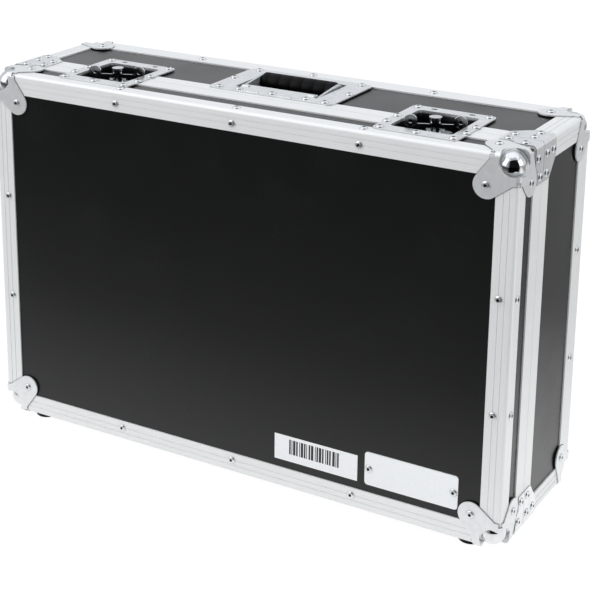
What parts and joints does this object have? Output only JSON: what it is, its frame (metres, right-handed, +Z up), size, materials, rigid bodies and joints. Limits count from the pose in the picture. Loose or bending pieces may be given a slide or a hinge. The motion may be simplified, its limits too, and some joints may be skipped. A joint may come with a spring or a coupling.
{
  "type": "guitar pedal flight case",
  "caption": "Hard flight case with a hinged front lid, butterfly latches, a recessed sprung handle, ball corners and a foam lining.",
  "frame": {"origin": "centre of the overall box in plan, at the underside of the feet", "axes": "+X along the width, to the right seen from the lid; -Y out of the lid's front panel; +Z up, towards the handle"},
  "size_m": [0.6058, 0.1858, 0.4103],
  "materials": {
    "laminate": "black phenolic laminate on plywood, fine texture",
    "extrusion": "clear anodised extrusion, satin",
    "zinc": "bright zinc plated pressed steel",
    "chrome_ball": "polished corner casting",
    "rivet_steel": "bright plated rivets",
    "dark_steel": "darkened steel latch parts",
    "foam": "grey-black closed cell foam lining",
    "rubber": "black rubber, matte",
    "plate_blank": "light grey bare plate",
    "label_paper": "white paper label with plain bars",
    "spring_steel": "spring wire"
  },
  "bodies": {
    "base": {"base_panel": "laminate", "base_wall_top": "laminate", "base_edging_top": "extrusion", "base_closure_top": "extrusion", "base_wall_bottom": "laminate", "base_edging_bottom": "extrusion", "base_closure_bottom": "extrusion", "base_wall_left": "laminate", "base_edging_left": "extrusion", "base_closure_left": "extrusion", "base_wall_right": "laminate", "base_edging_right": "extrusion", "base_closure_right": "extrusion", "base_ball_corners": "chrome_ball", "base_corner_braces": "zinc", "base_rivets": "rivet_steel", "base_foam_panel": "foam", "base_foam_walls": "foam", "base_feet": "rubber", "base_hinge_leaves": "zinc", "base_edge_angles": "extrusion", "hinge_pins": "zinc", "handle_dish": "zinc", "handle_spring": "spring_steel", "left_latch_dish": "zinc", "right_latch_dish": "zinc"},
    "lid": {"lid_panel": "laminate", "lid_wall_top": "laminate", "lid_edging_top": "extrusion", "lid_closure_top": "extrusion", "lid_wall_bottom": "laminate", "lid_edging_bottom": "extrusion", "lid_closure_bottom": "extrusion", "lid_wall_left": "laminate", "lid_edging_left": "extrusion", "lid_closure_left": "extrusion", "lid_wall_right": "laminate", "lid_edging_right": "extrusion", "lid_closure_right": "extrusion", "lid_ball_corners": "chrome_ball", "lid_corner_braces": "zinc", "lid_rivets": "rivet_steel", "lid_foam_panel": "foam", "lid_foam_walls": "foam", "lid_feet": "rubber", "lid_hinge_leaves": "zinc", "name_plate": "plate_blank", "paper_label": "label_paper", "left_keeper_dish": "zinc", "right_keeper_dish": "zinc"},
    "handle": {"handle_bail": "zinc", "handle_grip": "rubber"},
    "left_spindle_body": {"left_spindle": "zinc"},
    "left_wing_body": {"left_wing": "zinc"},
    "left_hook_body": {"left_hook": "dark_steel"},
    "right_spindle_body": {"right_spindle": "zinc"},
    "right_wing_body": {"right_wing": "zinc"},
    "right_hook_body": {"right_hook": "dark_steel"}
  },
  "joints": [
    {"name": "lid_hinge", "type": "hinge", "parent": "base", "child": "lid", "pos_m": [0, -0.035, 0.005], "axis": [1, 0, 0], "range_deg": [0, 105]},
    {"name": "handle_hinge", "type": "hinge", "parent": "base", "child": "handle", "pos_m": [0.004, -0.006, 0.3958], "axis": [1, 0, 0], "range_deg": [0, 90], "stiffness_Nm_per_rad": 0.03, "springref_deg": -34.38, "deforming": ["handle_spring"]},
    {"name": "left_spindle_turn", "type": "hinge", "parent": "base", "child": "left_spindle_body", "pos_m": [-0.181, -0.028, 0.391], "axis": [0, 0, 1], "range_deg": [0, 180]},
    {"name": "left_wing_fold", "type": "hinge", "parent": "left_spindle_body", "child": "left_wing_body", "pos_m": [-0.181, -0.028, 0.3965], "axis": [0.9135, 0.4067, 0], "range_deg": [0, 45]},
    {"name": "left_hook_slide", "type": "slide", "parent": "base", "child": "left_hook_body", "axis": [0, -1, 0], "range_m": [0, 0.0049]},
    {"name": "right_spindle_turn", "type": "hinge", "parent": "base", "child": "right_spindle_body", "pos_m": [0.189, -0.028, 0.391], "axis": [0, 0, 1], "range_deg": [0, 180]},
    {"name": "right_wing_fold", "type": "hinge", "parent": "right_spindle_body", "child": "right_wing_body", "pos_m": [0.189, -0.028, 0.3965], "axis": [0.9135, 0.4067, 0], "range_deg": [0, 45]},
    {"name": "right_hook_slide", "type": "slide", "parent": "base", "child": "right_hook_body", "axis": [0, -1, 0], "range_m": [0, 0.0049]}
  ],
  "couplings": [
    {"joint": "left_spindle_turn", "follows": "left_hook_slide", "rad_per_m": 640},
    {"joint": "right_spindle_turn", "follows": "right_hook_slide", "rad_per_m": 640}
  ]
}
